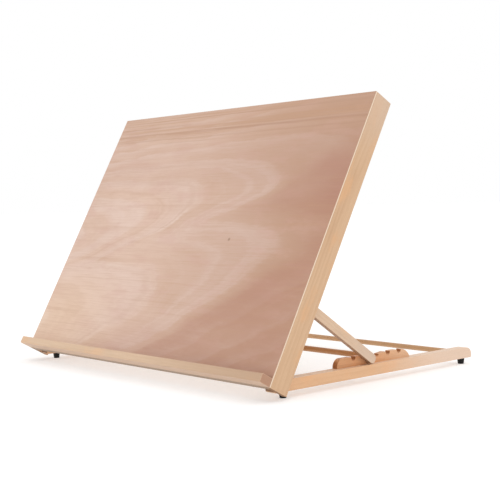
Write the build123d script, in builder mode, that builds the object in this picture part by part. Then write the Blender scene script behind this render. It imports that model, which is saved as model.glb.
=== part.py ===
from build123d import *
import math
import os

# Table-top drawing board on a folding stand.
# Millimetres.  +X is to the right, +Y to the back, +Z up.
# The origin lies on the table under the middle of the whole object.

os.makedirs("parts", exist_ok=True)

# ---------------------------------------------------------------- driving dimensions
tilt = 60.9                  # slope of the board in the modelled notch, degrees
y_shift = -230.7             # moves the front edge of the face to its place about the origin
face_foot_z = 23.7           # height of the face's lower edge above the table

board_width = 650.0
board_height = 484.0
panel_thick = 3.0
frame_thick = 10.0           # stock of the frame behind the panel
frame_depth = 35.0
bottom_rail_height = 35.0

ledge_height = 13.2
ledge_out = 20.6
ledge_round = 2.0

hinge_y = 31.0
hinge_z = 19.0
side_gap = 0.5               # washer space between the board's sides and the stand

foot_height = 10.3
foot_top_radius = 6.25
foot_low_radius = 5.0
foot_x = 304.7
foot_front_y = 45.4
foot_rear_y = 462.8

base_rail_thick = 19.5
base_rail_height = 17.3
base_rail_front_y = 20.0
base_rail_rear_y = 479.4
base_rail_rear_round = 12.0
base_front_round = 3.5
base_low_round = 2.5

rear_dowel_radius = 4.4
rear_dowel_y = 457.0
rear_dowel_z = 19.4
dowel_socket = 8.0

rack_thick = 9.4
rack_height = 14.4
rack_front_y = 159.0
rack_rear_y = 328.7
rack_end_top_y = 308.5
rack_end_mid = (321.0, 37.0)
rack_front_round = 13.0
notch_first_y = 195.8
notch_pitch = 26.6
notch_count = 5
notch_radius = 4.8
notch_centre_z = 40.7
notch_mouth_round = 1.2
used_notch = 1               # counted from 0 at the front
relief_end_y = 268.0         # where the ramp that clears the lifting bar ends

bar_radius = 4.5
bar_socket = 6.0
arm_thick = 9.7
arm_width = 15.0
arm_reach = 175.0            # pivot to bar
arm_beyond_bar = 7.5         # bar to the centre of the arm's round end
arm_pivot_k = 138.0          # up the board from its lower edge
arm_pivot_m = 11.7           # behind the face

screw_radius = 2.5
screw_head_radius = 4.6
screw_head_height = 2.6
screw_socket = 8.0
pivot_clearance = 0.08       # radial, round a turning screw
fixed_clearance = 0.05       # radial, round a fixed screw or dowel
washer_radius = 6.0
washer_thick = 1.0
edge_round = 0.8
drive_slot = 0.9             # width of a screw's cross recess
drive_reach = 0.5            # recess length over the head's diameter
drive_depth = 1.0
panel_edge_break = 0.3
corner_dowel_radius = 3.0
corner_dowel_length = 30.0
corner_socket_share = 0.7    # depth of a corner dowel's socket over a rail's thickness
pick_slack = 0.01            # slack when edges are picked by their place
ledge_screw_count = 5
ledge_screw_pitch = 145.0
ledge_screw_k = 6.6          # up the board from its lower edge
ledge_screw_reach = 12.0     # into the ledge
rack_screw_ys = (176.0, 312.0)
rack_screw_reach = 8.0       # into the rack
small_screw_radius = 1.5
small_head_radius = 3.0
small_head_height = 1.8
foot_screw_reach = 12.0      # into the base rail
foot_recess = 4.0

# ---------------------------------------------------------------- derived places
slope = math.radians(tilt)
half_width = board_width / 2
side_inner_x = half_width - frame_thick
base_outer_x = side_inner_x - side_gap
base_inner_x = base_outer_x - base_rail_thick
base_mid_x = (base_outer_x + base_inner_x) / 2
base_top_z = foot_height + base_rail_height
rack_outer_x = base_inner_x + rack_thick
rack_mid_x = (base_inner_x + rack_outer_x) / 2
rack_top_z = base_top_z + rack_height
arm_inner_x = base_outer_x - arm_thick
arm_mid_x = (base_outer_x + arm_inner_x) / 2
bottom_rail_back = panel_thick + frame_thick

bar_y = notch_first_y + used_notch * notch_pitch
bar_z = notch_centre_z
pivot_y = arm_pivot_k * math.cos(slope) + arm_pivot_m * math.sin(slope)
pivot_z = face_foot_z + arm_pivot_k * math.sin(slope) - arm_pivot_m * math.cos(slope)
arm_angle = math.degrees(math.atan2(bar_z - pivot_z, bar_y - pivot_y))

# Face of the board: x to the right, y up the slope, z out towards the user.
board_plane = Plane(
    origin=(0, y_shift, face_foot_z),
    x_dir=(1, 0, 0),
    z_dir=(0, -math.sin(slope), math.cos(slope)),
)

LOW = (Align.CENTER, Align.MIN, Align.MAX)
ON_TABLE = (Align.CENTER, Align.CENTER, Align.MIN)
SIDES = (("left", -1), ("right", 1))


def side_plane(x):
    """Upright plane across X at x: its own x runs to the back, its own y runs up."""
    return Plane(origin=(x, y_shift, 0), x_dir=(0, 1, 0), z_dir=(1, 0, 0))


def save(built, label):
    built.part.label = label
    export_step(built.part, "parts/" + label + ".step")



def pin(x, y, z, radius, length):
    """Cylinder along +X that starts at x, in the stand's own places."""
    with BuildPart(Plane(origin=(x, y + y_shift, z), z_dir=(1, 0, 0))) as made:
        Cylinder(radius, length, align=ON_TABLE)
    return made


def cross_recess(head_radius):
    """Cross recess in the open builder, cut from the place along its z."""
    reach = 2 * head_radius * drive_reach
    Box(reach, drive_slot, drive_depth, align=ON_TABLE, mode=Mode.SUBTRACT)
    Box(drive_slot, reach, drive_depth, align=ON_TABLE, mode=Mode.SUBTRACT)


def countersunk(radius, length, head_radius, head_height):
    """Screw in the open builder: its flat head at the place, its shank along the place's z."""
    Cylinder(radius, length, align=ON_TABLE)
    Cone(head_radius, radius, head_height, align=ON_TABLE)
    cross_recess(head_radius)


# ---------------------------------------------------------------- board
with BuildPart(board_plane) as drawing_panel:
    Box(board_width, board_height, panel_thick, align=LOW)
    chamfer(drawing_panel.edges(), panel_edge_break)
    with Locations((0, ledge_screw_k, 0)):
        with GridLocations(ledge_screw_pitch, 0, ledge_screw_count, 1):
            Cylinder(small_screw_radius + fixed_clearance, 3 * panel_thick, mode=Mode.SUBTRACT)
save(drawing_panel, "drawing_panel")

hinge_place = (side_inner_x, hinge_y + y_shift, hinge_z)
arm_place = (side_inner_x, pivot_y + y_shift, pivot_z)
corner_places = (
    (bottom_rail_height / 4, panel_thick + frame_thick / 2),
    (bottom_rail_height * 3 / 4, panel_thick + frame_thick / 2),
    (board_height - frame_thick / 2, panel_thick + frame_depth / 4),
    (board_height - frame_thick / 2, panel_thick + frame_depth * 3 / 4),
)
corner_socket = frame_thick * corner_socket_share

for name, side in SIDES:
    with BuildPart(board_plane) as side_rail:
        with Locations((side * (side_inner_x + frame_thick / 2), 0, -panel_thick)):
            Box(frame_thick, board_height, frame_depth, align=LOW)
        fillet(side_rail.edges().filter_by(Axis((0, 0, 0), board_plane.y_dir)), edge_round)
        for k, m in corner_places:
            with Locations(Location((side * side_inner_x, k, -m), (0, 90 * side, 0))):
                Cylinder(corner_dowel_radius + fixed_clearance, 2 * corner_socket, mode=Mode.SUBTRACT)
    with BuildPart() as side_rail_bored:
        add(side_rail.part)
        for x, y, z in (hinge_place, arm_place):
            with Locations(Location((side * x, y, z), (0, 90, 0))):
                Cylinder(screw_radius + fixed_clearance, 2 * screw_socket, mode=Mode.SUBTRACT)
    save(side_rail_bored, name + "_side_rail")

corner_bore = corner_dowel_length - corner_socket
with BuildPart(board_plane) as top_rail:
    with Locations((0, board_height - frame_thick, -panel_thick)):
        Box(2 * side_inner_x, frame_thick, frame_depth, align=LOW)
    fillet(top_rail.edges().filter_by(Axis.X), edge_round)
    for side in (-1, 1):
        for k, m in corner_places[2:]:
            with Locations(Location((side * side_inner_x, k, -m), (0, 90 * side, 0))):
                Cylinder(corner_dowel_radius + fixed_clearance, 2 * corner_bore, mode=Mode.SUBTRACT)
save(top_rail, "top_rail")

with BuildPart(board_plane) as bottom_rail:
    with Locations((0, 0, -panel_thick)):
        Box(2 * side_inner_x, bottom_rail_height, frame_thick, align=LOW)
    for place in range(ledge_screw_count):
        x = (place - (ledge_screw_count - 1) / 2) * ledge_screw_pitch
        with Locations((x, ledge_screw_k, -bottom_rail_back)):
            Cylinder(small_screw_radius + fixed_clearance, frame_thick,
                     align=ON_TABLE, mode=Mode.SUBTRACT)
            Cone(small_head_radius + fixed_clearance, small_screw_radius + fixed_clearance,
                 small_head_height, align=ON_TABLE, mode=Mode.SUBTRACT)
    fillet(bottom_rail.edges().filter_by(Axis.X), edge_round)
    for side in (-1, 1):
        for k, m in corner_places[:2]:
            with Locations(Location((side * side_inner_x, k, -m), (0, 90 * side, 0))):
                Cylinder(corner_dowel_radius + fixed_clearance, 2 * corner_bore, mode=Mode.SUBTRACT)
save(bottom_rail, "bottom_rail")

with BuildPart(board_plane) as frame_dowels:
    for side in (-1, 1):
        for k, m in corner_places:
            with Locations(Location((side * (side_inner_x + corner_socket), k, -m), (0, -90 * side, 0))):
                Cylinder(corner_dowel_radius, corner_dowel_length, align=ON_TABLE)
save(frame_dowels, "frame_dowels")

with BuildPart(board_plane) as ledge_strip:
    Box(board_width, ledge_height, ledge_out, align=(Align.CENTER, Align.MIN, Align.MIN))
    outer = ledge_strip.edges().filter_by(Axis.X).sort_by(Axis(board_plane.origin, board_plane.z_dir))
    fillet(outer[-2:], ledge_round)
    ends = ledge_strip.faces().filter_by(Axis.X).edges().filter_by(Axis.X, reverse=True)
    chamfer(ends, panel_edge_break)
    with Locations((0, ledge_screw_k, 0)):
        with GridLocations(ledge_screw_pitch, 0, ledge_screw_count, 1):
            Cylinder(small_screw_radius + fixed_clearance, 2 * ledge_screw_reach, mode=Mode.SUBTRACT)
save(ledge_strip, "ledge_strip")

with BuildPart(board_plane) as ledge_screws:
    with Locations((0, ledge_screw_k, -bottom_rail_back)):
        with GridLocations(ledge_screw_pitch, 0, ledge_screw_count, 1):
            countersunk(small_screw_radius, bottom_rail_back + ledge_screw_reach,
                        small_head_radius, small_head_height)
save(ledge_screws, "ledge_screws")

# ---------------------------------------------------------------- stand
for name, side in SIDES:
    inner = base_inner_x if side > 0 else -base_outer_x
    with BuildPart() as base_rail:
        with BuildSketch(side_plane(inner)):
            with Locations(((base_rail_front_y + base_rail_rear_y) / 2,
                            foot_height + base_rail_height / 2)):
                Rectangle(base_rail_rear_y - base_rail_front_y, base_rail_height)
        extrude(amount=base_rail_thick)
        across = base_rail.edges().filter_by(Axis.X)
        front = across.group_by(Axis.Y)[0].sort_by(Axis.Z)
        rear = across.group_by(Axis.Y)[-1].sort_by(Axis.Z)
        fillet(rear[-1], base_rail_rear_round)
        fillet([front[0], front[-1]], base_front_round)
        fillet(base_rail.edges().filter_by(Axis.X)
               .filter_by(lambda e: e.center().Y > base_rail_rear_y + y_shift - 1)
               .sort_by(Axis.Z)[0], base_low_round)
        fillet(base_rail.faces().filter_by(Axis.X).edges(), edge_round)
        with Locations(Location((inner, hinge_y + y_shift, hinge_z), (0, 90, 0))):
            Cylinder(screw_radius + pivot_clearance, 4 * base_rail_thick, mode=Mode.SUBTRACT)
        with Locations(Location((side * base_inner_x, rear_dowel_y + y_shift, rear_dowel_z), (0, 90, 0))):
            Cylinder(rear_dowel_radius + fixed_clearance, 2 * dowel_socket, mode=Mode.SUBTRACT)
        for y in rack_screw_ys:
            with Locations((side * rack_mid_x, y + y_shift, foot_height)):
                Cylinder(small_screw_radius + fixed_clearance, 3 * base_rail_height, mode=Mode.SUBTRACT)
                Cone(small_head_radius + fixed_clearance, small_screw_radius + fixed_clearance,
                     small_head_height, align=ON_TABLE, mode=Mode.SUBTRACT)
        for y in (foot_front_y, foot_rear_y):
            with Locations((side * foot_x, y + y_shift, foot_height)):
                Cylinder(small_screw_radius + fixed_clearance, 2 * foot_screw_reach, mode=Mode.SUBTRACT)
    save(base_rail, name + "_base_rail")

save(pin(-base_inner_x - dowel_socket, rear_dowel_y, rear_dowel_z,
         rear_dowel_radius, 2 * (base_inner_x + dowel_socket)), "rear_dowel")

rack_low = notch_centre_z - notch_radius
for name, side in SIDES:
    inner = base_inner_x if side > 0 else -rack_outer_x
    with BuildPart() as rack:
        with BuildSketch(side_plane(inner)) as outline:
            with BuildLine():
                Line((rack_front_y, base_top_z), (rack_rear_y, base_top_z))
                ThreePointArc((rack_rear_y, base_top_z), rack_end_mid, (rack_end_top_y, rack_top_z))
                Line((rack_end_top_y, rack_top_z), (rack_front_y + rack_front_round, rack_top_z))
                RadiusArc((rack_front_y + rack_front_round, rack_top_z),
                          (rack_front_y, rack_top_z - rack_front_round), -rack_front_round)
                Line((rack_front_y, rack_top_z - rack_front_round), (rack_front_y, base_top_z))
            make_face()
            for place in range(notch_count):
                y = notch_first_y + place * notch_pitch
                with Locations((y, notch_centre_z)):
                    Circle(notch_radius, mode=Mode.SUBTRACT)
                    Rectangle(2 * notch_radius, rack_height,
                              align=(Align.CENTER, Align.MIN), mode=Mode.SUBTRACT)
            with BuildLine():
                Polyline((bar_y, rack_low), (relief_end_y, rack_top_z), (bar_y, rack_top_z), close=True)
            make_face(mode=Mode.SUBTRACT)
        extrude(amount=rack_thick)
        mouths = rack.edges().filter_by(Axis.X).filter_by(
            lambda e: e.center().Z > rack_top_z - pick_slack and
            notch_first_y + y_shift - 2 * notch_radius < e.center().Y < rack_end_top_y + y_shift - 1)
        fillet(mouths, notch_mouth_round)
        for y in rack_screw_ys:
            with Locations((side * rack_mid_x, y + y_shift, base_top_z)):
                Cylinder(small_screw_radius + fixed_clearance, 2 * rack_screw_reach, mode=Mode.SUBTRACT)
    save(rack, name + "_rack")

with BuildPart() as rack_screws:
    for name, side in SIDES:
        for y in rack_screw_ys:
            with Locations((side * rack_mid_x, y + y_shift, foot_height)):
                countersunk(small_screw_radius, base_rail_height + rack_screw_reach,
                            small_head_radius, small_head_height)
save(rack_screws, "rack_screws")

foot_places = {
    "front_left_foot": (-foot_x, foot_front_y),
    "front_right_foot": (foot_x, foot_front_y),
    "rear_left_foot": (-foot_x, foot_rear_y),
    "rear_right_foot": (foot_x, foot_rear_y),
}
for name, (x, y) in foot_places.items():
    with BuildPart(Plane(origin=(x, y + y_shift, 0))) as foot:
        Cone(foot_low_radius, foot_top_radius, foot_height, align=ON_TABLE)
        fillet(foot.edges().group_by(Axis.Z)[0], edge_round)
        Cylinder(small_head_radius + fixed_clearance, foot_recess, align=ON_TABLE, mode=Mode.SUBTRACT)
        Cylinder(small_screw_radius + fixed_clearance, 3 * foot_height, align=ON_TABLE, mode=Mode.SUBTRACT)
    save(foot, name)

with BuildPart() as foot_screws:
    for x, y in foot_places.values():
        with Locations((x, y + y_shift, foot_recess)):
            Cylinder(small_screw_radius, foot_height - foot_recess + foot_screw_reach, align=ON_TABLE)
        with Locations((x, y + y_shift, foot_recess - small_head_height)):
            Cylinder(small_head_radius, small_head_height, align=ON_TABLE)
save(foot_screws, "foot_screws")

# ---------------------------------------------------------------- hinge and arm screws
with BuildPart() as base_pivot_screws:
    for name, side in SIDES:
        head_x = base_inner_x - washer_thick
        with Locations(Location((side * head_x, hinge_y + y_shift, hinge_z), (0, 90 * side, 0))):
            Cylinder(screw_radius, side_inner_x + screw_socket - head_x, align=ON_TABLE)
            Cylinder(screw_head_radius, screw_head_height, align=(Align.CENTER, Align.CENTER, Align.MAX))
    round_edges = base_pivot_screws.edges().filter_by(GeomType.CIRCLE)
    crowns = round_edges.filter_by(
        lambda e: abs(abs(e.center().X) - (head_x - screw_head_height)) < pick_slack)
    fillet(crowns, screw_head_height / 2)
    for name, side in SIDES:
        crown_x = head_x - screw_head_height
        with Locations(Location((side * crown_x, hinge_y + y_shift, hinge_z), (0, 90 * side, 0))):
            cross_recess(screw_head_radius)
save(base_pivot_screws, "base_pivot_screws")


def washer(thick):
    """Washer in the open builder, standing on the place."""
    Cylinder(washer_radius, thick, align=ON_TABLE)
    Cylinder(screw_radius + fixed_clearance, 3 * thick, mode=Mode.SUBTRACT)


with BuildPart() as base_pivot_washers:
    for name, side in SIDES:
        for x, thick in ((base_inner_x - washer_thick, washer_thick), (base_outer_x, side_gap)):
            with Locations(Location((side * x, hinge_y + y_shift, hinge_z), (0, 90 * side, 0))):
                washer(thick)
save(base_pivot_washers, "base_pivot_washers")

with BuildPart() as arm_pivot_screws:
    for name, side in SIDES:
        with Locations(Location((side * arm_inner_x, pivot_y + y_shift, pivot_z), (0, 90 * side, 0))):
            countersunk(screw_radius, side_inner_x + screw_socket - arm_inner_x,
                        screw_head_radius, screw_head_height)
save(arm_pivot_screws, "arm_pivot_screws")

with BuildPart() as arm_pivot_washers:
    for name, side in SIDES:
        with Locations(Location((side * base_outer_x, pivot_y + y_shift, pivot_z), (0, 90 * side, 0))):
            washer(side_gap)
save(arm_pivot_washers, "arm_pivot_washers")

# ---------------------------------------------------------------- prop
for name, side in SIDES:
    inner = arm_inner_x if side > 0 else -base_outer_x
    with BuildPart() as arm:
        with BuildSketch(side_plane(inner)):
            with Locations(Location((pivot_y, pivot_z), arm_angle)):
                with Locations(((arm_reach + arm_beyond_bar) / 2, 0)):
                    SlotCenterToCenter(arm_reach + arm_beyond_bar, arm_width)
        extrude(amount=arm_thick)
        fillet(arm.faces().filter_by(Axis.X).edges(), edge_round)
        with Locations(Location((side * arm_inner_x, pivot_y + y_shift, pivot_z), (0, 90 * side, 0))):
            Cylinder(screw_radius + pivot_clearance, 4 * arm_thick, mode=Mode.SUBTRACT)
            Cone(screw_head_radius + pivot_clearance, screw_radius + pivot_clearance, screw_head_height,
                 align=ON_TABLE, mode=Mode.SUBTRACT)
        with Locations(Location((side * arm_inner_x, bar_y + y_shift, bar_z), (0, 90, 0))):
            Cylinder(bar_radius + fixed_clearance, 2 * bar_socket, mode=Mode.SUBTRACT)
    save(arm, name + "_prop_arm")

save(pin(-arm_inner_x - bar_socket, bar_y, bar_z, bar_radius,
         2 * (arm_inner_x + bar_socket)), "notch_bar")

print("hinge", hinge_y + y_shift, hinge_z)
print("arm pivot", pivot_y + y_shift, pivot_z, "angle", arm_angle)
print("bar", bar_y + y_shift, bar_z, "length", math.hypot(bar_y - pivot_y, bar_z - pivot_z))
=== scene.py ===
import bpy
import math
from mathutils import Matrix, Vector

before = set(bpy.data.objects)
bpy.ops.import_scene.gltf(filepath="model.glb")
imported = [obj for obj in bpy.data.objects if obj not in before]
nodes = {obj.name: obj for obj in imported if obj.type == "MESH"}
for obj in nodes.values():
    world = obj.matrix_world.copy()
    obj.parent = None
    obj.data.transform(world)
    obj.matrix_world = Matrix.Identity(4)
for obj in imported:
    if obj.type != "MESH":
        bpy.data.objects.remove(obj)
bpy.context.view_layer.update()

# A table-top drawing board: a plywood panel in a beech frame, hinged on a folding beech stand. Every shape is
# a CAD node, and this script gives each one its material, and adds the floor, the light and the camera.

# ------------------------------------------------------------ places on the object, in metres
TILT = math.radians(60.9)                 # slope of the drawing panel
ARM_SLOPE = math.radians(34.01)           # slope of the prop arms, down towards the rear
FOOT_Y = -0.2307                          # the lower front edge of the panel
FOOT_Z = 0.0237

X_AXIS = Vector((1, 0, 0))
Y_AXIS = Vector((0, 1, 0))
Z_AXIS = Vector((0, 0, 1))
UP_SLOPE = Vector((0, math.cos(TILT), math.sin(TILT)))
FACE_OUT = Vector((0, -math.sin(TILT), math.cos(TILT)))
ARM_ALONG = Vector((0, math.cos(ARM_SLOPE), -math.sin(ARM_SLOPE)))
ARM_UP = Vector((0, math.sin(ARM_SLOPE), math.cos(ARM_SLOPE)))
PANEL_FOOT = Vector((0, FOOT_Y, FOOT_Z))
STAND_MIDDLE = Vector((0, 0, 0))

# Directions along the grain, across it and out of the piece.
ACROSS_BOARD = (X_AXIS, UP_SLOPE, FACE_OUT)
UP_BOARD = (UP_SLOPE, FACE_OUT, X_AXIS)
ALONG_STAND = (Y_AXIS, Z_AXIS, X_AXIS)
ACROSS_STAND = (X_AXIS, Z_AXIS, Y_AXIS)
ALONG_ARM = (ARM_ALONG, ARM_UP, X_AXIS)


# ------------------------------------------------------------ shader helpers
class Shader:
    """A small wrapper that builds one material's node tree."""

    def __init__(self, name):
        self.mat = bpy.data.materials.new(name)
        self.mat.use_nodes = True
        self.tree = self.mat.node_tree
        self.bsdf = self.tree.nodes["Principled BSDF"]

    def node(self, kind, **values):
        made = self.tree.nodes.new(kind)
        for key, value in values.items():
            setattr(made, key, value)
        return made

    def feed(self, socket, value):
        """Link a socket to an input, or set the input to a constant."""
        if isinstance(value, bpy.types.NodeSocket):
            self.tree.links.new(value, socket)
        else:
            socket.default_value = value

    def maths(self, operation, a, b=0.0, c=0.0):
        made = self.node("ShaderNodeMath", operation=operation)
        for place, item in enumerate((a, b, c)):
            self.feed(made.inputs[place], item)
        return made.outputs[0]

    def plus(self, a, b):
        return self.maths("ADD", a, b)

    def minus(self, a, b):
        return self.maths("SUBTRACT", a, b)

    def times(self, a, b):
        return self.maths("MULTIPLY", a, b)

    def centred(self, noise, amount):
        """A noise as a swing about zero."""
        return self.times(self.minus(noise, 0.5), amount)

    def repeat(self, value, pitch):
        """0 to 1 over each pitch."""
        return self.maths("FRACT", self.maths("DIVIDE", value, pitch))

    def vector_maths(self, operation, a, b):
        made = self.node("ShaderNodeVectorMath", operation=operation)
        self.feed(made.inputs[0], a)
        self.feed(made.inputs[1], b)
        return made.outputs["Value" if operation in ("DOT_PRODUCT", "DISTANCE") else "Vector"]

    def vector(self, x, y, z=0.0):
        made = self.node("ShaderNodeCombineXYZ")
        for place, item in enumerate((x, y, z)):
            self.feed(made.inputs[place], item)
        return made.outputs[0]

    def spread(self, value, low, high, to_low=0.0, to_high=1.0):
        """A smooth step from to_low at low to to_high at high."""
        made = self.node("ShaderNodeMapRange", interpolation_type="SMOOTHSTEP")
        for place, item in enumerate((value, low, high, to_low, to_high)):
            self.feed(made.inputs[place], item)
        return made.outputs[0]

    def window(self, value, rise, fall):
        """0 before a rise and after a fall, and 1 between them."""
        return self.times(self.spread(value, rise[0], rise[1]), self.spread(value, fall[1], fall[0]))

    def noise(self, place, scale, detail=4.0, rough=0.55):
        made = self.node("ShaderNodeTexNoise")
        self.feed(made.inputs["Vector"], place)
        self.feed(made.inputs["Scale"], scale)
        self.feed(made.inputs["Detail"], detail)
        self.feed(made.inputs["Roughness"], rough)
        return made.outputs["Fac"]

    def stretch(self, place, scale):
        made = self.node("ShaderNodeMapping")
        self.feed(made.inputs["Vector"], place)
        self.feed(made.inputs["Scale"], scale)
        return made.outputs[0]

    def grain(self, place, scale, detail, rough):
        """Noise with its own scale per metre in each direction."""
        return self.noise(self.stretch(place, scale), 1.0, detail, rough)

    def mix(self, factor, a, b):
        made = self.node("ShaderNodeMix", data_type="RGBA", blend_type="MIX")
        self.feed(made.inputs["Factor"], factor)
        self.feed(made.inputs[6], a)
        self.feed(made.inputs[7], b)
        return made.outputs[2]

    def layer(self, colour, tone, share, amount):
        """A tone laid over a colour where share is above 0, at most by amount."""
        return self.mix(self.times(share, amount), colour, tone)

    def bump(self, height, strength, distance):
        made = self.node("ShaderNodeBump")
        self.feed(made.inputs["Height"], height)
        self.feed(made.inputs["Strength"], strength)
        self.feed(made.inputs["Distance"], distance)
        self.feed(self.bsdf.inputs["Normal"], made.outputs[0])

    def surface(self, **values):
        """Feed the shader's own inputs, named with _ for each space."""
        for key, value in values.items():
            self.feed(self.bsdf.inputs[key.replace("_", " ")], value)

    def object_place(self):
        return self.node("ShaderNodeTexCoord").outputs["Object"]


def linear(r, g, b):
    """sRGB bytes to a linear colour."""
    def one(v):
        v = v / 255.0
        return v / 12.92 if v <= 0.04045 else ((v + 0.055) / 1.055) ** 2.4
    return (one(r), one(g), one(b), 1.0)


def tinted(colour, gains):
    return tuple(min(1.0, c * gain) for c, gain in zip(colour[:3], gains)) + (1.0,)


def scaled(colour, factor):
    return tinted(colour, (factor, factor, factor))


def grain_place(sh, axes, origin):
    """Object position turned into a piece's own axes, as one vector and as three numbers."""
    shifted = sh.vector_maths("SUBTRACT", sh.object_place(), origin)
    parts = [sh.vector_maths("DOT_PRODUCT", shifted, axis) for axis in axes]
    return sh.vector(*parts), parts


def facing_share(sh, direction, low, high, one_way=False):
    """How squarely the surface faces along a direction fixed to the piece, from 0 to 1."""
    turn = sh.node("ShaderNodeVectorTransform", vector_type="NORMAL",
                   convert_from="WORLD", convert_to="OBJECT")
    sh.feed(turn.inputs[0], sh.node("ShaderNodeNewGeometry").outputs["Normal"])
    facing = sh.vector_maths("DOT_PRODUCT", turn.outputs[0], direction)
    return sh.spread(facing if one_way else sh.maths("ABSOLUTE", facing), low, high)


# ------------------------------------------------------------ solid wood
EDGE_RADIUS = 0.0014                      # width of the painted highlight along the edges
WOOD_ROUGHNESS = 0.46
WOOD_SPECULAR = 0.35
WARMER = (1.06, 0.93, 0.80)               # gains on the light tone for warm patches


def painted_edge_highlight(sh, place):
    """A painted highlight along the edges, broken up by noise."""
    edge = sh.node("ShaderNodeBevel", samples=4)
    sh.feed(edge.inputs["Radius"], EDGE_RADIUS)
    flat = sh.node("ShaderNodeNewGeometry").outputs["Normal"]
    agreement = sh.vector_maths("DOT_PRODUCT", edge.outputs[0], flat)
    return sh.times(sh.spread(agreement, 0.995, 0.93), sh.spread(sh.noise(place, 60.0, 4.0, 0.6), 0.30, 0.62))


def growth_rings(sh, place, y, z, ring):
    """Wavy rings with a soft inner and a sharp outer side, stronger in some places than in others."""
    slow = sh.grain(place, (2.0, 14.0, 14.0), 3.0, 0.5)
    bend = sh.grain(place, (5.0, 30.0, 30.0), 2.0, 0.5)
    weight = sh.grain(place, (3.0, 40.0, 40.0), 2.0, 0.5)
    depth = sh.plus(y, sh.times(z, 0.55))
    depth = sh.plus(depth, sh.times(bend, ring * 2.2))
    depth = sh.plus(depth, sh.times(slow, ring * 4.0))
    rings = sh.window(sh.repeat(depth, ring), rise=(0.15, 0.90), fall=(0.92, 1.0))
    return sh.times(rings, sh.spread(weight, 0.35, 0.65, 0.2, 1.0))


def wood(name, axes, origin, tones, offset, ring=0.0060, contrast=1.0, end=None, drift=None, faces=()):
    """Beech: growth rings, short dark flecks, pores, slow colour changes and browner end grain.

    tones are the light, dark and streak colours, and offset moves the pattern from piece to piece. drift is
    the start and stop along the grain of a change to another tone, that tone and its amount. faces lists
    sides that get another tone, each as a direction, a tone and an amount: painted shade on undersides,
    painted shade over the darker end grain of lower and front ends, and a painted sheen on the base rails'
    tops.
    """
    light, dark, streak = tones
    sh = Shader(name)
    place, (x, y, z) = grain_place(sh, axes, origin)
    place = sh.vector_maths("ADD", place, offset)
    rings = growth_rings(sh, place, y, z, ring)
    fine = sh.grain(place, (22.0, 800.0, 800.0), 5.0, 0.65)
    fleck = sh.spread(sh.grain(place, (260.0, 1500.0, 1500.0), 2.0, 0.6), 0.60, 0.70)
    pores = sh.spread(sh.grain(place, (90.0, 2600.0, 2600.0), 2.0, 0.6), 0.62, 0.74)
    broad = sh.grain(place, (3.5, 26.0, 26.0), 3.0, 0.6)
    warm = sh.grain(place, (14.0, 34.0, 34.0), 4.0, 0.6)

    colour = sh.layer(light, dark, rings, 0.30 * contrast)
    colour = sh.layer(colour, dark, sh.spread(fine, 0.42, 0.72), 0.34 * contrast)
    colour = sh.layer(colour, streak, sh.spread(broad, 0.45, 0.75), 0.40 * contrast)
    colour = sh.layer(colour, tinted(light, WARMER), sh.spread(warm, 0.48, 0.66), 0.62 * contrast)
    if drift is not None:
        (start, stop), tone, amount = drift
        colour = sh.layer(colour, sh.mix(fine, tone, scaled(tone, 0.86)), sh.spread(x, start, stop), amount)
    colour = sh.layer(colour, streak, fleck, 0.30)
    colour = sh.layer(colour, scaled(streak, 0.8), pores, 0.25)

    end_tone = end or scaled(streak, 0.9)
    ends = facing_share(sh, axes[0], 0.55, 0.95)
    gritty = sh.mix(sh.noise(place, 900.0, 4.0, 0.7), scaled(end_tone, 0.86), scaled(end_tone, 1.1))
    colour = sh.layer(colour, gritty, ends, 0.9)
    # Each side listed in faces gets its tone: painted shade on undersides and ends, a painted sheen on the
    # base rails' tops.
    for direction, tone, amount in faces:
        side_tone_with_painted_light = sh.mix(sh.grain(place, (60.0, 700.0, 700.0), 4.0, 0.6), scaled(tone, 0.84), scaled(tone, 1.1))
        colour = sh.layer(colour, side_tone_with_painted_light, facing_share(sh, direction, 0.75, 0.95, one_way=True), amount)
    # A painted highlight along the edges, lighter than the wood.
    colour = sh.layer(colour, scaled(light, 1.12), painted_edge_highlight(sh, place), 0.45)

    gloss = sh.plus(WOOD_ROUGHNESS, sh.centred(fine, 0.22))
    sh.surface(Base_Color=colour, Roughness=sh.plus(gloss, sh.times(ends, 0.2)),
               Specular_IOR_Level=WOOD_SPECULAR)
    sh.bump(sh.minus(sh.times(fine, 0.6), pores), 0.35, 0.00012)
    return sh.mat


# ------------------------------------------------------------ plywood
# On the panel's face, x runs to the right from its middle and y up from its foot. z runs out of the face.
UPPER_ARCHES = {"apex": (0.190, 0.345), "lean": math.radians(12.0), "curve_up": 30.0, "curve_down": 52.0}
LOWER_ARCHES = {"apex": (0.247, 0.230), "lean": math.radians(17.0), "curve_up": 23.0, "curve_down": 24.8}
LOWER_PITCH = 0.62                        # the lower arches are spaced wider than the upper ones
ARCH_MERGE = 0.10                         # how softly the two sets run together
BROAD_PITCH = 0.172
THIN_PITCH = 0.0215
GROWTH_ALONG, GROWTH_ACROSS = 1.6, 27.0   # noise per metre along the panel and across the growth lines
HEAD_GRAIN = (0.405, 0.446)               # where arches give way to straight grain
# Heights over which the two dark lines in the head grain rise and fall.
HEAD_LINE = ((0.4395, 0.4415), (0.4430, 0.4455))
FAINT_LINE = ((0.4285, 0.4300), (0.4312, 0.4335))
RED_TOP = (0.315, 0.375)                  # heights over which the redder zone fades out
RED_RISE = 0.060                          # how much higher it reaches at the right end
KNOT = (0.118, 0.228, 0.0)
KNOT_CORE, KNOT_EDGE = 0.0012, 0.0040     # radii
LEDGE_SHADE_LINE = (0.0138, 0.0190)             # the painted contact shadow just above the ledge, and where it has faded out
PANEL_THICK = 0.0030

PINK_VENEER = linear(219, 189, 171)
BROWN_VENEER = linear(183, 144, 121)
PALE_VENEER = linear(225, 203, 195)
TAN_VENEER = linear(187, 146, 117)
RED_VENEER = linear(173, 122, 100)


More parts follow.
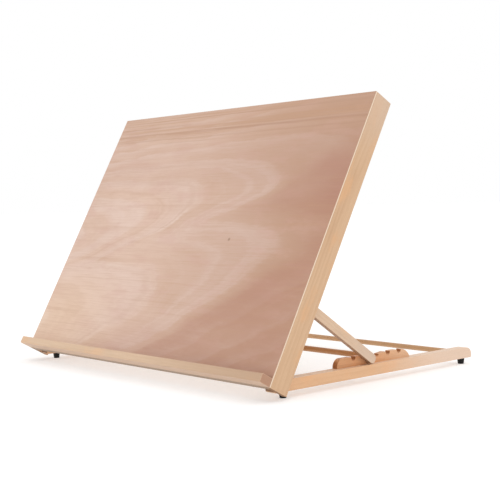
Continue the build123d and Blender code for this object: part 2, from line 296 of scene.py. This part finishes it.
def arch_height(sh, x, y, apex, lean, curve_up, curve_down):
    """Parabolic arches that point to the right from an apex: 0 on the outermost, negative inside."""
    dx = sh.minus(x, apex[0])
    dy = sh.minus(y, apex[1])
    along = sh.plus(sh.times(dx, math.cos(lean)), sh.times(dy, math.sin(lean)))
    across = sh.minus(sh.times(dy, math.cos(lean)), sh.times(dx, math.sin(lean)))
    curve = sh.spread(across, -0.03, 0.03, curve_down, curve_up)
    return sh.plus(along, sh.times(sh.times(across, across), curve))


def veneer_arches(sh, place, x, y, ripple):
    """The two sets of arches run together, bent by slow noise and feathered along the grain."""
    sway = sh.grain(place, (3.4, 6.0, 1.0), 2.0, 0.5)
    feather = sh.grain(place, (26.0, 190.0, 1.0), 4.0, 0.7)
    bent_x = sh.plus(x, sh.centred(sway, 0.16))
    bent_y = sh.plus(y, sh.centred(ripple, 0.030))
    upper = arch_height(sh, bent_x, bent_y, **UPPER_ARCHES)
    lower = sh.times(arch_height(sh, bent_x, bent_y, **LOWER_ARCHES), LOWER_PITCH)
    return sh.plus(sh.maths("SMOOTH_MIN", upper, lower, ARCH_MERGE), sh.centred(feather, 0.030))


def arched_veneer(sh, place, x, y, arch, shown):
    """The ground colour of the face, with pale outlines and growth lines along the arches."""
    side = sh.spread(x, -0.17, 0.35)
    cloud = sh.grain(place, (5.0, 12.0, 1.0), 5.0, 0.6)
    phase = sh.repeat(arch, BROAD_PITCH)
    ring = sh.window(phase, rise=(0.0, 0.82), fall=(0.86, 1.0))
    thin = sh.window(sh.repeat(arch, THIN_PITCH), rise=(0.1, 0.8), fall=(0.85, 1.0))
    colour = sh.mix(side, PINK_VENEER, BROWN_VENEER)
    # Each broad outline fades outwards into a slightly browner ground.
    colour = sh.layer(colour, TAN_VENEER, sh.minus(1.0, ring), sh.spread(shown, 0.0, 1.0, 0.06, 0.20))
    colour = sh.layer(colour, PALE_VENEER, sh.times(ring, ring), sh.spread(side, 0.0, 1.0, 0.30, 0.12))
    colour = sh.layer(colour, TAN_VENEER, sh.times(thin, shown), 0.16)
    colour = sh.layer(colour, TAN_VENEER, sh.spread(cloud, 0.42, 0.74), 0.30)
    # Uneven growth lines follow the arches below the head.
    growth = sh.vector(sh.times(arch, GROWTH_ACROSS), sh.times(x, GROWTH_ALONG))
    growth = sh.noise(growth, 1.0, 3.0, 0.55)
    below = sh.times(sh.spread(y, 0.44, 0.38), sh.spread(arch, 0.04, -0.04, 0.30, 1.0))
    colour = sh.layer(colour, PALE_VENEER, below, sh.spread(growth, 0.50, 0.68, 0.0, 0.19))
    colour = sh.layer(colour, TAN_VENEER, below, sh.spread(growth, 0.48, 0.32, 0.0, 0.17))
    outline = sh.window(phase, rise=(0.84, 0.92), fall=(0.95, 1.0))
    outline = sh.times(outline, sh.spread(arch, -0.03, -0.10, 0.12, 1.0))
    outline_share = sh.spread(shown, 0.0, 1.0, 0.08, 0.34)
    return sh.layer(colour, linear(231, 212, 201), outline, outline_share)


def veneer_patches(sh, place, x, y, arch, colour):
    """Broad patches: a blush, a creamy corner, and a redder zone outside the arches."""
    blush = sh.grain(place, (13.0, 30.0, 1.0), 4.0, 0.6)
    colour = sh.layer(colour, linear(205, 164, 151), sh.spread(blush, 0.47, 0.66), 0.30)
    corner = sh.times(sh.spread(x, -0.06, -0.27), sh.spread(y, 0.20, 0.05))
    colour = sh.layer(colour, linear(233, 205, 178), corner, 0.45)
    # The redder zone ends below the head, reaches higher at the right end, is weaker in the gap between
    # the two sets of arches, and runs further left along the foot.
    red_top = sh.minus(y, sh.times(sh.spread(x, 0.22, 0.32), RED_RISE))
    outside = sh.times(sh.spread(arch, -0.010, 0.055), sh.spread(red_top, RED_TOP[1], RED_TOP[0]))
    gap = sh.times(sh.spread(x, 0.245, 0.150), sh.spread(y, 0.245, 0.275))
    outside = sh.times(outside, sh.minus(1.0, sh.times(gap, 0.60)))
    foot = sh.times(sh.spread(y, 0.095, 0.035), sh.spread(x, -0.125, -0.045))
    outside = sh.maths("MAXIMUM", outside, sh.times(foot, 0.50))
    flow = sh.grain(place, (6.0, 24.0, 1.0), 5.0, 0.65)
    fade = sh.times(sh.spread(arch, 0.07, 0.26, 0.54, 0.42), sh.spread(flow, 0.34, 0.60, 0.66, 1.10))
    colour = sh.layer(colour, RED_VENEER, outside, fade)
    # It is reddest at the right end, level with the upper arches.
    right_end = sh.times(sh.window(y, rise=(0.265, 0.305), fall=(0.345, 0.390)), sh.spread(x, 0.225, 0.325))
    colour = sh.layer(colour, linear(166, 112, 92), right_end, 0.42)
    # A slightly browner band between the head and the arches.
    band = sh.window(y, rise=(0.315, 0.350), fall=(0.400, 0.445))
    return sh.layer(colour, linear(182, 142, 122), band, 0.22)


def head_grain(sh, place, y, ripple, bands, shown, colour):
    """Straight grain along the head, with one clear dark line and a faint one below it."""
    head = sh.spread(sh.plus(y, sh.centred(ripple, 0.03)), *HEAD_GRAIN)
    streaks = sh.spread(sh.spread(bands, 0.46, 0.60), 0.0, 1.0, 0.40, 0.74)
    colour = sh.layer(colour, TAN_VENEER, head, streaks)
    level = sh.plus(y, sh.centred(ripple, 0.009))
    line = sh.times(sh.window(level, *HEAD_LINE), sh.spread(shown, 0.0, 1.0, 0.26, 0.60))
    faint = sh.times(sh.window(level, *FAINT_LINE), 0.20)
    colour = sh.mix(sh.maths("MAXIMUM", line, faint), colour, linear(166, 124, 100))
    straight = sh.spread(sh.grain(place, (1.1, 240.0, 1.0), 4.0, 0.6), 0.50, 0.64)
    return sh.layer(colour, linear(172, 132, 108), sh.times(head, straight), 0.34)


def back_veneer(sh, place, hair):
    """A plain straight-grained veneer."""
    turned = sh.stretch(place, (1.0, 1.0, -1.0))
    bands = sh.grain(turned, (1.7, 60.0, 40.0), 5.0, 0.62)
    lines = sh.spread(sh.grain(turned, (9.0, 520.0, 300.0), 5.0, 0.7), 0.42, 0.70)
    colour = sh.mix(sh.spread(bands, 0.35, 0.68), linear(208, 176, 146), linear(190, 152, 120))
    colour = sh.layer(colour, linear(172, 132, 100), lines, 0.35)
    return sh.layer(colour, linear(150, 110, 80), hair, 0.25)


def cut_edge(sh, place, z):
    """Pale plies with a thin dark line under the face veneer and at the back, and painted shade on the
    downward-facing edge along the foot.
    """
    grit = sh.grain(place, (500.0, 500.0, 900.0), 4.0, 0.7)
    ply = sh.mix(grit, linear(240, 220, 198), linear(220, 192, 164))
    under = sh.times(sh.spread(z, -0.0007, -0.0005), sh.spread(z, -0.0001, -0.0003))
    glue = sh.spread(z, -0.0026, -0.0029)
    seam = sh.maths("MAXIMUM", sh.times(under, 0.55), sh.times(glue, 0.75))
    ply = sh.mix(seam, ply, linear(150, 108, 76))
    # Painted shade on the downward-facing edge along the foot.
    return sh.layer(ply, linear(150, 126, 104), facing_share(sh, -UP_SLOPE, 0.6, 0.9, one_way=True), 0.8)


def plywood():
    """Veneer with two soft cathedrals, straight grain along the head, and pale plies on the cut edges."""
    sh = Shader("plywood")
    place, (x, y, z) = grain_place(sh, ACROSS_BOARD, PANEL_FOOT)
    ripple = sh.grain(place, (7.0, 16.0, 1.0), 4.0, 0.6)
    shown = sh.spread(sh.grain(place, (3.0, 7.0, 1.0), 3.0, 0.6), 0.40, 0.66)
    fine = sh.grain(place, (12.0, 420.0, 1.0), 6.0, 0.7)
    hair = sh.spread(sh.grain(place, (45.0, 1500.0, 1.0), 3.0, 0.65), 0.57, 0.70)
    bands = sh.grain(place, (1.3, 85.0, 1.0), 5.0, 0.64)
    arch = veneer_arches(sh, place, x, y, ripple)

    colour = arched_veneer(sh, place, x, y, arch, shown)
    colour = veneer_patches(sh, place, x, y, arch, colour)
    colour = head_grain(sh, place, y, ripple, bands, shown, colour)
    colour = sh.layer(colour, TAN_VENEER, sh.spread(bands, 0.50, 0.70), 0.26)
    colour = sh.layer(colour, TAN_VENEER, sh.spread(fine, 0.46, 0.66), 0.22)
    colour = sh.layer(colour, RED_VENEER, hair, 0.14)
    # A thin painted contact shadow where the ledge meets the face, and one pin knot.
    ledge_contact_shade = sh.times(sh.spread(y, LEDGE_SHADE_LINE[1], LEDGE_SHADE_LINE[0]), sh.spread(z, -0.0002, 0.0))
    colour = sh.layer(colour, linear(150, 106, 80), ledge_contact_shade, 0.60)
    from_knot = sh.vector_maths("DISTANCE", sh.vector(x, y), KNOT)
    colour = sh.mix(sh.spread(from_knot, KNOT_EDGE, KNOT_CORE, 0.0, 0.50), colour, linear(122, 90, 60))

    behind = sh.spread(z, -PANEL_THICK / 2, -PANEL_THICK / 2 - 0.0001)
    colour = sh.mix(behind, colour, back_veneer(sh, place, hair))
    rim = sh.minus(1.0, facing_share(sh, FACE_OUT, 0.35, 0.6))
    colour = sh.mix(rim, colour, cut_edge(sh, place, z))
    sh.surface(Base_Color=colour, Roughness=sh.plus(WOOD_ROUGHNESS, sh.centred(fine, 0.25)),
               Specular_IOR_Level=WOOD_SPECULAR)
    sh.bump(sh.plus(sh.times(fine, 0.7), sh.times(hair, -0.6)), 0.3, 0.0001)
    return sh.mat


# ------------------------------------------------------------ rubber and steel
def rubber():
    """Near-black rubber with a little dust."""
    sh = Shader("foot_rubber")
    place = sh.object_place()
    dust = sh.noise(place, 160.0, 5.0, 0.65)
    sh.surface(Base_Color=sh.mix(sh.spread(dust, 0.45, 0.75), linear(5, 5, 6), linear(24, 24, 24)),
               Roughness=sh.spread(dust, 0.3, 0.8, 0.5, 0.8), Specular_IOR_Level=0.3)
    sh.bump(sh.noise(place, 1400.0, 3.0, 0.6), 0.25, 0.00015)
    return sh.mat


def zinc():
    """Zinc-plated steel, cloudy and finely scratched."""
    sh = Shader("zinc_steel")
    place = sh.object_place()
    cloud = sh.noise(place, 420.0, 4.0, 0.6)
    scratch = sh.grain(place, (200.0, 2600.0, 2600.0), 3.0, 0.6)
    sh.surface(Base_Color=sh.mix(sh.spread(cloud, 0.35, 0.7), linear(196, 197, 194), linear(142, 142, 138)),
               Metallic=1.0, Roughness=sh.spread(scratch, 0.3, 0.7, 0.24, 0.46))
    sh.bump(scratch, 0.2, 0.00006)
    return sh.mat


# ------------------------------------------------------------ materials on the pieces
# Light, dark and streak tones of each kind of wood on the object. The rack's and the notch bar's tones carry
# painted shade.
FRAME_WOOD = (linear(209, 173, 138), linear(193, 153, 117), linear(180, 136, 100))
STAND_WOOD = (linear(221, 177, 137), linear(206, 160, 119), linear(192, 143, 101))
LEDGE_WOOD = (linear(216, 186, 157), linear(200, 167, 136), linear(184, 146, 114))
ARM_WOOD = (linear(216, 187, 159), linear(200, 167, 136), linear(184, 147, 114))
# The rack sits in shade under the board: its tones are darker and more orange than the stand's, as painted
# shade with painted warm bounce light.
SHADED_RACK_WOOD = (linear(214, 160, 115), linear(190, 132, 88), linear(166, 106, 62))
DOWEL_WOOD = (linear(201, 163, 123), linear(183, 139, 100), linear(162, 115, 76))
# The notch bar lies in shade under the board: its tones are the dowels' wood darkened as painted shade.
SHADED_BAR_WOOD = (linear(190, 141, 96), linear(168, 118, 76), linear(146, 96, 58))


def paint(node, mat):
    """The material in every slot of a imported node."""
    for slot in nodes[node].material_slots:
        slot.material = mat


paint("drawing_panel", plywood())
for name, side in (("left", -1), ("right", 1)):
    # The side rails' lower ends are end grain darkened further by painted shade.
    paint(name + "_side_rail", wood(
        name + "_side_rail_wood", UP_BOARD, PANEL_FOOT, FRAME_WOOD,
        Vector((0.31 * side, 0.7, 0.2 * side)), ring=0.0085, contrast=1.25,
        drift=((0.36, 0.48), linear(213, 185, 161), 0.7),
        faces=((-UP_SLOPE, linear(150, 112, 80), 0.85),)))
    # The base rails' front ends are end grain darkened by painted shade, and their tops are paler with a
    # painted sheen.
    paint(name + "_base_rail", wood(
        name + "_base_rail_wood", ALONG_STAND, STAND_MIDDLE, STAND_WOOD,
        Vector((0.5 * side, 0.33, 0.11 * side)), ring=0.0075, end=linear(218, 186, 158),
        drift=((-0.02, 0.18), linear(232, 206, 185), 0.85),
        faces=((-Y_AXIS, linear(124, 88, 60), 0.85), (Z_AXIS, linear(232, 204, 178), 0.65))))
    paint(name + "_rack", wood(
        name + "_rack_wood", ALONG_STAND, STAND_MIDDLE, SHADED_RACK_WOOD,
        Vector((0.2 * side, 0.9, 0.4)), contrast=1.35,
        drift=((0.0, 0.09), linear(230, 186, 148), 0.85)))
    # The arms' undersides are darker with painted shade.
    paint(name + "_prop_arm", wood(
        name + "_arm_wood", ALONG_ARM, STAND_MIDDLE, ARM_WOOD,
        Vector((0.4 * side, 0.15, 0.6)), ring=0.0055, contrast=1.2,
        drift=((-0.11, -0.04), linear(216, 190, 169), 0.6),
        faces=((-ARM_UP, linear(156, 118, 86), 0.85),)))
# The top and bottom rails' undersides are darker with painted shade.
for name, shift in (("top_rail", 0.13), ("bottom_rail", 0.57)):
    paint(name, wood(
        name + "_wood", ACROSS_BOARD, PANEL_FOOT, FRAME_WOOD,
        Vector((shift, shift * 2, shift)), ring=0.0075,
        faces=((-UP_SLOPE, linear(138, 116, 96), 0.85),)))
# The ledge's ends are end grain deepened by painted shade, and its underside is greyer with painted shade.
paint("ledge_strip", wood(
    "ledge_wood", ACROSS_BOARD, PANEL_FOOT, LEDGE_WOOD,
    Vector((0.84, 0.3, 0.6)), ring=0.0065, end=linear(176, 133, 108),
    drift=((-0.05, 0.32), linear(193, 159, 130), 0.85),
    faces=((-UP_SLOPE, linear(204, 172, 146), 0.85),)))
for name, tones, shift in (("notch_bar", SHADED_BAR_WOOD, 0.3), ("rear_dowel", DOWEL_WOOD, 0.9),
                           ("frame_dowels", DOWEL_WOOD, 0.5)):
    paint(name, wood(
        name + "_wood", ACROSS_STAND, STAND_MIDDLE, tones,
        Vector((shift, shift * 0.7, shift * 0.4)), ring=0.0035))
rubber_mat = rubber()
for name in ("front_left_foot", "front_right_foot", "rear_left_foot", "rear_right_foot"):
    paint(name, rubber_mat)
zinc_mat = zinc()
for name in ("ledge_screws", "base_pivot_screws", "base_pivot_washers", "arm_pivot_screws",
             "arm_pivot_washers", "rack_screws", "foot_screws"):
    paint(name, zinc_mat)


# ------------------------------------------------------------ floor and light
WHITE = (1.0, 1.0, 1.0, 1.0)

bpy.ops.mesh.primitive_plane_add(size=60.0, location=(0, 0, 0))
floor = bpy.context.object
floor.name = "floor"
floor_paint = Shader("floor_paint")
cloudy = floor_paint.noise(floor_paint.object_place(), 1.5, 3.0, 0.5)
floor_paint.surface(Base_Color=floor_paint.mix(cloudy, (0.68, 0.68, 0.68, 1), (0.71, 0.71, 0.71, 1)),
                    Emission_Color=WHITE, Emission_Strength=0.38, Roughness=0.9, Specular_IOR_Level=0.1)
floor.data.materials.append(floor_paint.mat)

world = bpy.data.worlds.new("studio")
bpy.context.scene.world = world
world.use_nodes = True
sky = world.node_tree.nodes["Background"]
sky.inputs["Color"].default_value = WHITE
sky.inputs["Strength"].default_value = 1.0


def area_light(name, place, target, size, power):
    data = bpy.data.lights.new(name, "AREA")
    data.shape = "SQUARE"
    data.size = size
    data.energy = power
    lamp = bpy.data.objects.new(name, data)
    bpy.context.collection.objects.link(lamp)
    lamp.location = place
    lamp.rotation_euler = (Vector(target) - Vector(place)).to_track_quat("-Z", "Y").to_euler()


area_light("key", (1.4, -1.1, 2.2), (0, 0, 0.15), size=1.6, power=4.4)
area_light("fill", (-1.8, -1.4, 1.5), (0, 0, 0.15), size=2.0, power=1.6)
area_light("rear", (0.6, 2.0, 1.6), (0, 0.1, 0.1), size=1.6, power=5.2)


# ------------------------------------------------------------ camera
YAW, PITCH, ROLL = (math.radians(v) for v in (48.106, 2.635, 1.260))
CAMERA_PLACE = Vector((1.40805, FOOT_Y - 1.00178, 0.28350))

forward = Vector((-math.sin(YAW) * math.cos(PITCH), math.cos(YAW) * math.cos(PITCH), -math.sin(PITCH)))
level = Vector((math.cos(YAW), math.sin(YAW), 0))
down = forward.cross(level)
right = level * math.cos(ROLL) + down * math.sin(ROLL)
low = down * math.cos(ROLL) - level * math.sin(ROLL)
camera_data = bpy.data.cameras.new("camera")
camera_data.lens = 76.79
camera_data.sensor_width = 36.0
camera_data.clip_end = 100.0
camera = bpy.data.objects.new("camera", camera_data)
bpy.context.collection.objects.link(camera)
turn = Matrix((right, -low, -forward)).transposed()
camera.matrix_world = Matrix.Translation(CAMERA_PLACE) @ turn.to_4x4()
bpy.context.scene.camera = camera
bpy.context.scene.view_settings.view_transform = "Standard"
